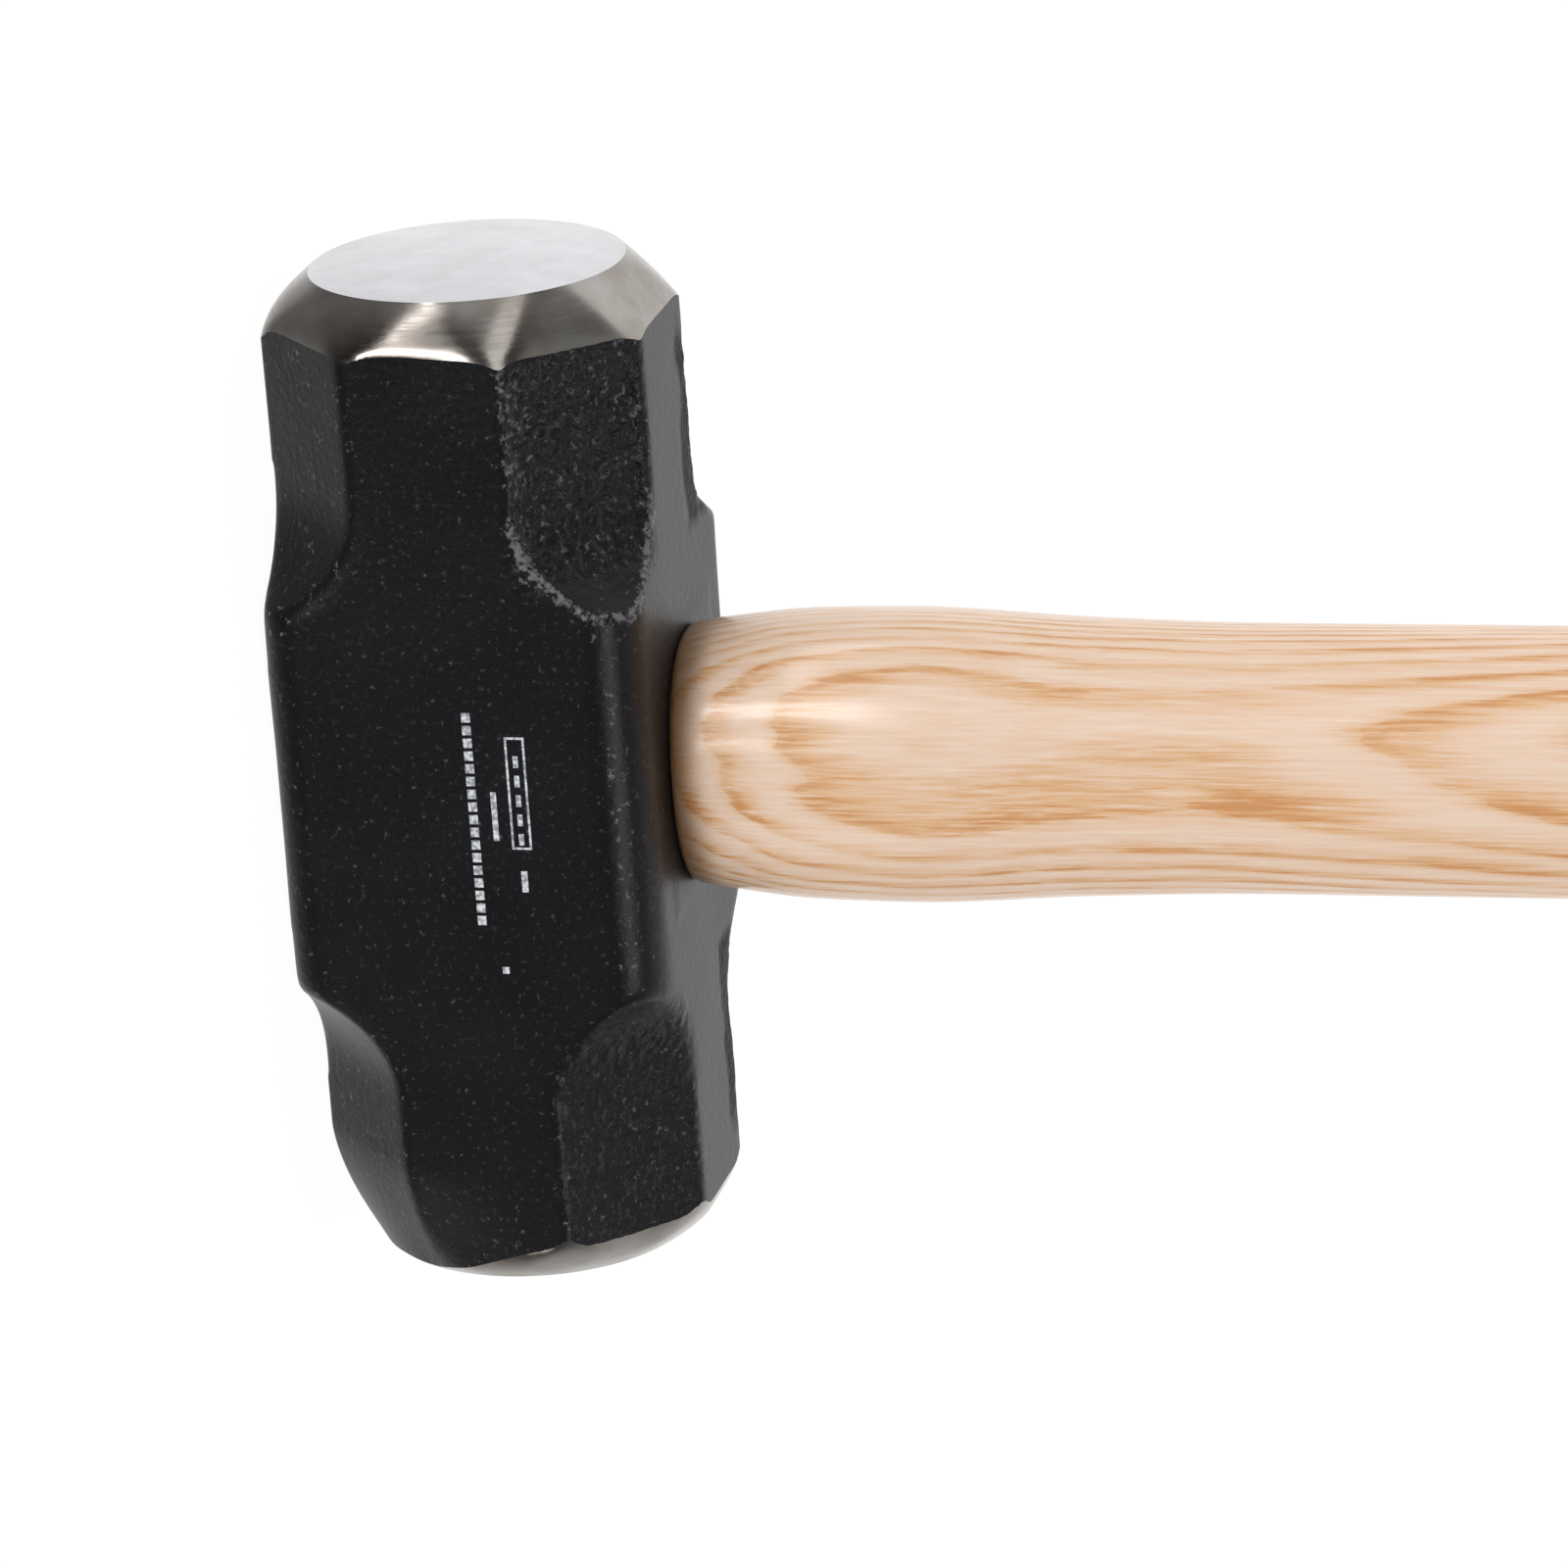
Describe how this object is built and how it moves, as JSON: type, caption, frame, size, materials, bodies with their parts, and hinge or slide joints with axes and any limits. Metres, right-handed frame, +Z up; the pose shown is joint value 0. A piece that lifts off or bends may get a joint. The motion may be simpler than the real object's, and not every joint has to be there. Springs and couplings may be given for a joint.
{
  "type": "sledgehammer",
  "caption": "Long-handled sledgehammer with a double-faced octagonal forged head, polished faces and an oval timber handle wedged in its eye.",
  "frame": {"origin": "centre of the bounding box's bottom, which is the middle of the eye's mouth on the head's resting face", "axes": "+Z up the handle to its grip, +X along the head between the two striking faces, +Y across the head from one cheek to the other; it stands on its head"},
  "size_m": [0.164, 0.062, 0.9],
  "materials": {
    "head_steel": "satin black lacquer on forged steel, with bare polished striking faces",
    "handle_timber": "clear-lacquered pale hickory",
    "wedge_timber": "bare sawn hardwood",
    "wedge_steel": "bare pressed steel"
  },
  "bodies": {
    "root": {"head": "head_steel", "handle": "handle_timber", "timber_wedge": "wedge_timber", "steel_wedge_left": "wedge_steel", "steel_wedge_right": "wedge_steel"}
  },
  "joints": []
}
